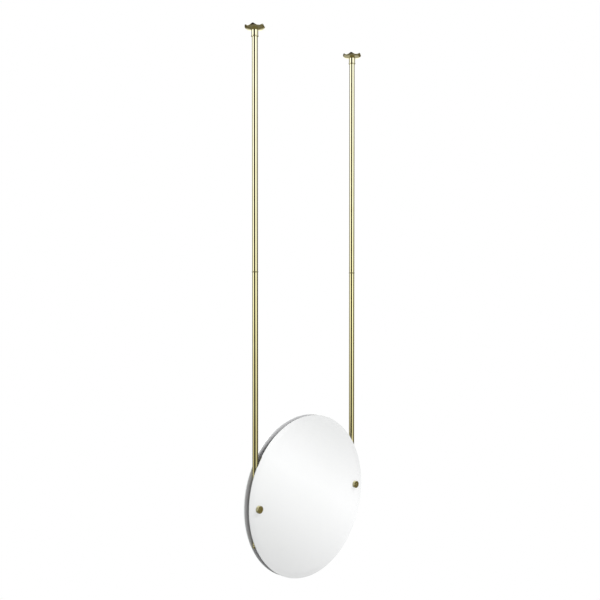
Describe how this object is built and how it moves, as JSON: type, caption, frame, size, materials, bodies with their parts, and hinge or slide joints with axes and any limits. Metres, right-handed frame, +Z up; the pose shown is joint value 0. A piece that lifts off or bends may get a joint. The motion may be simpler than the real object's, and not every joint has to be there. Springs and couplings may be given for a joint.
{
  "type": "ceiling-hung mirror",
  "caption": "Round bevelled frameless mirror glass on both sides of long polished brass rods that hang from scalloped ceiling flanges, clamped by round brass knobs.",
  "frame": {"origin": "on the ceiling plane, midway between the two rods' axes", "axes": "+Z up; +X to the right as one faces the front glass; the front glass faces -Y"},
  "size_m": [0.5587, 0.067, 1.8499],
  "materials": {
    "polished_brass": "polished and lacquered",
    "mirror_glass": "silvered float glass, bevelled edge, grey painted back",
    "plated_steel": "zinc plated, threaded",
    "black_rubber": "matt",
    "nylon": "natural"
  },
  "bodies": {
    "hanger": {"front_mirror": "mirror_glass", "rear_mirror": "mirror_glass", "left_ceiling_flange": "polished_brass", "left_upper_tube": "polished_brass", "left_lower_tube": "polished_brass", "left_joint_ring": "polished_brass", "left_end_cap": "polished_brass", "left_rear_knob_bolt": "polished_brass", "left_upper_tube_top_plug": "polished_brass", "left_upper_tube_end_plug": "polished_brass", "left_lower_tube_top_plug": "polished_brass", "left_flange_stud": "plated_steel", "left_joint_stud": "plated_steel", "left_front_saddle": "black_rubber", "left_front_bushing": "nylon", "left_rear_saddle": "black_rubber", "left_rear_bushing": "nylon", "left_rear_washer": "nylon", "right_ceiling_flange": "polished_brass", "right_upper_tube": "polished_brass", "right_lower_tube": "polished_brass", "right_joint_ring": "polished_brass", "right_end_cap": "polished_brass", "right_rear_knob_bolt": "polished_brass", "right_upper_tube_top_plug": "polished_brass", "right_upper_tube_end_plug": "polished_brass", "right_lower_tube_top_plug": "polished_brass", "right_flange_stud": "plated_steel", "right_joint_stud": "plated_steel", "right_front_saddle": "black_rubber", "right_front_bushing": "nylon", "right_rear_saddle": "black_rubber", "right_rear_bushing": "nylon", "right_rear_washer": "nylon"},
    "left_knob_washer": {"left_front_washer": "nylon"},
    "left_knob": {"left_front_knob": "polished_brass"},
    "right_knob_washer": {"right_front_washer": "nylon"},
    "right_knob": {"right_front_knob": "polished_brass"}
  },
  "joints": [
    {"name": "left_knob_travel", "type": "slide", "parent": "hanger", "child": "left_knob_washer", "axis": [0, -1, 0], "range_m": [0, 0.005]},
    {"name": "left_knob_turn", "type": "hinge", "parent": "left_knob_washer", "child": "left_knob", "pos_m": [-0.24, -0.02, -1.5705], "axis": [0, -1, 0], "range_deg": [0, 1800]},
    {"name": "right_knob_travel", "type": "slide", "parent": "hanger", "child": "right_knob_washer", "axis": [0, -1, 0], "range_m": [0, 0.005]},
    {"name": "right_knob_turn", "type": "hinge", "parent": "right_knob_washer", "child": "right_knob", "pos_m": [0.24, -0.02, -1.5705], "axis": [0, -1, 0], "range_deg": [0, 1800]}
  ],
  "couplings": [
    {"joint": "left_knob_travel", "follows": "left_knob_turn", "m_per_rad": 0.00015915},
    {"joint": "right_knob_travel", "follows": "right_knob_turn", "m_per_rad": 0.00015915}
  ]
}
